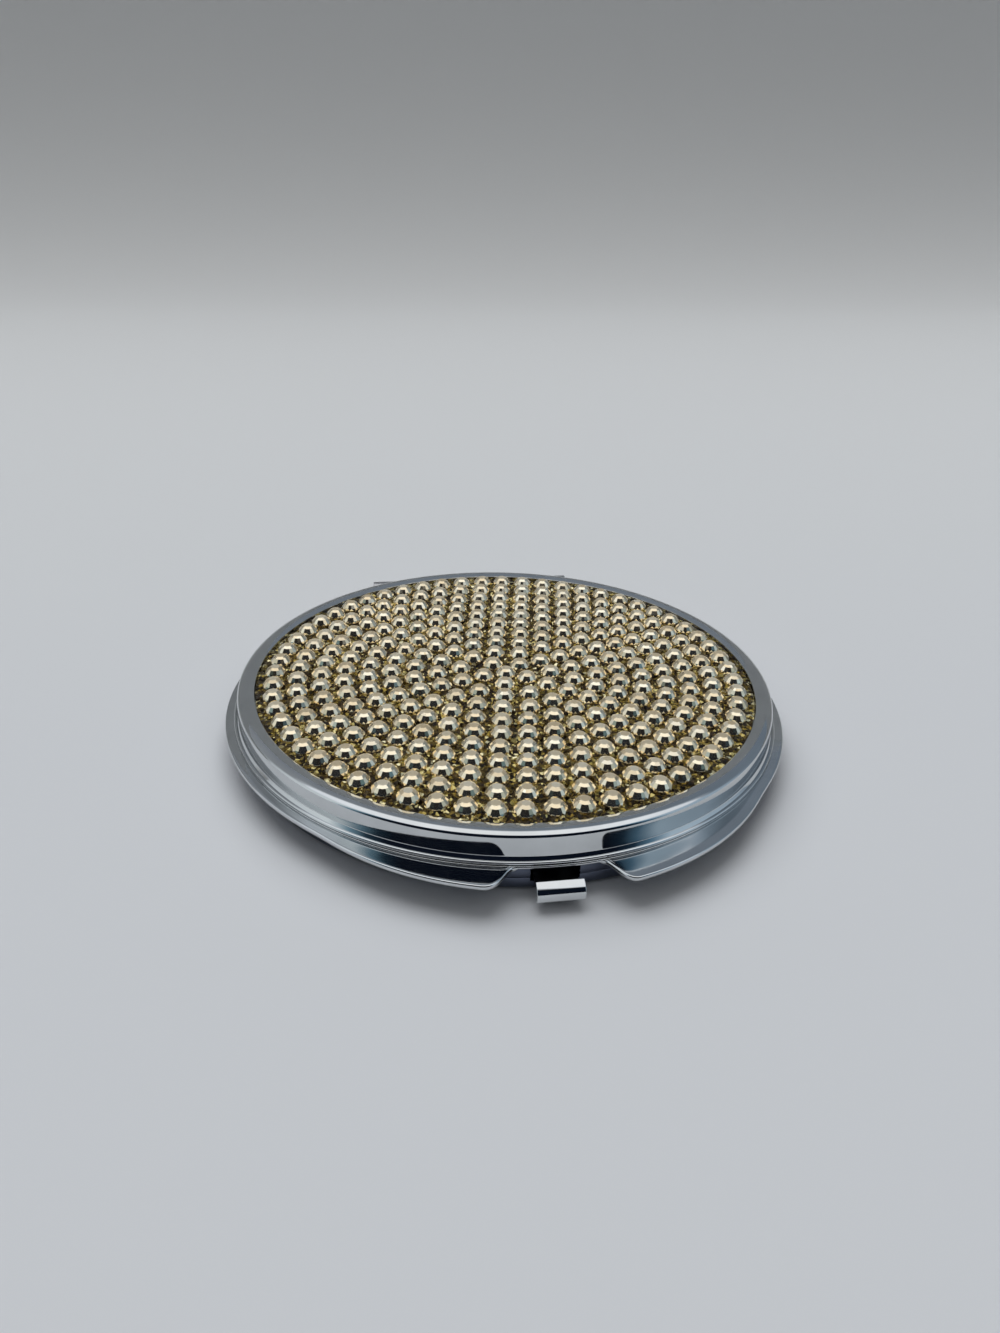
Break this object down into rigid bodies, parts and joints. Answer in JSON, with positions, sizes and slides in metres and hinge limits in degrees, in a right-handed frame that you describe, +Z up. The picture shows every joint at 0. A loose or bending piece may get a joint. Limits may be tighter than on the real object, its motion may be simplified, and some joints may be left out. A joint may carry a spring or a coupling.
{
  "type": "compact mirror",
  "caption": "Round hinged compact mirror with a stone-set lid, a flared rim beside its push button, and a plain and a magnifying mirror inside.",
  "frame": {"origin": "centre of the flat underside of the bottom pan, on the table", "axes": "+Z up through the lid, -Y towards the push button, +Y towards the hinge, X along the hinge pin"},
  "size_m": [0.0706, 0.0736, 0.0082],
  "materials": {
    "lid_shell": "bright chrome plate",
    "inlay_adhesive": "clear adhesive film",
    "glitter_panel": "clear resin full of gold glitter",
    "rhinestones": "foiled champagne glass",
    "lid_mirror_pad": "foam adhesive pad",
    "lid_mirror": "silvered glass",
    "lid_bezel": "bright chrome plate",
    "lid_hinge_leaf": "bright chrome plate",
    "lid_catch": "bright chrome plate",
    "base_pan": "bright chrome plate",
    "base_rim": "bright chrome plate",
    "base_mirror_pad": "white foam",
    "base_mirror": "silvered glass",
    "base_bezel": "bright chrome plate",
    "base_hinge_leaf": "bright chrome plate",
    "hinge_pin": "plain drawn steel",
    "button_guide": "plain pressed steel",
    "push_button": "bright chrome plate",
    "button_spring": "spring steel wire"
  },
  "bodies": {
    "base": {"base_pan": "base_pan", "base_rim": "base_rim", "base_mirror_pad": "base_mirror_pad", "base_mirror": "base_mirror", "base_bezel": "base_bezel", "base_hinge_leaf": "base_hinge_leaf", "hinge_pin": "hinge_pin", "button_guide": "button_guide"},
    "lid": {"lid_shell": "lid_shell", "inlay_adhesive": "inlay_adhesive", "glitter_panel": "glitter_panel", "rhinestones": "rhinestones", "lid_mirror_pad": "lid_mirror_pad", "lid_mirror": "lid_mirror", "lid_bezel": "lid_bezel", "lid_hinge_leaf": "lid_hinge_leaf", "lid_catch": "lid_catch"},
    "button": {"push_button": "push_button", "button_spring": "button_spring"}
  },
  "joints": [
    {"name": "lid_hinge", "type": "hinge", "parent": "base", "child": "lid", "pos_m": [0, 0.0355, 0.00395], "axis": [-1, 0, 0], "range_deg": [0, 165]},
    {"name": "button_slide", "type": "slide", "parent": "base", "child": "button", "axis": [0, 1, 0], "range_m": [0, 0.0011], "stiffness_N_per_m": 800, "springref_m": -0.0012, "deforming": ["button_spring"]}
  ]
}
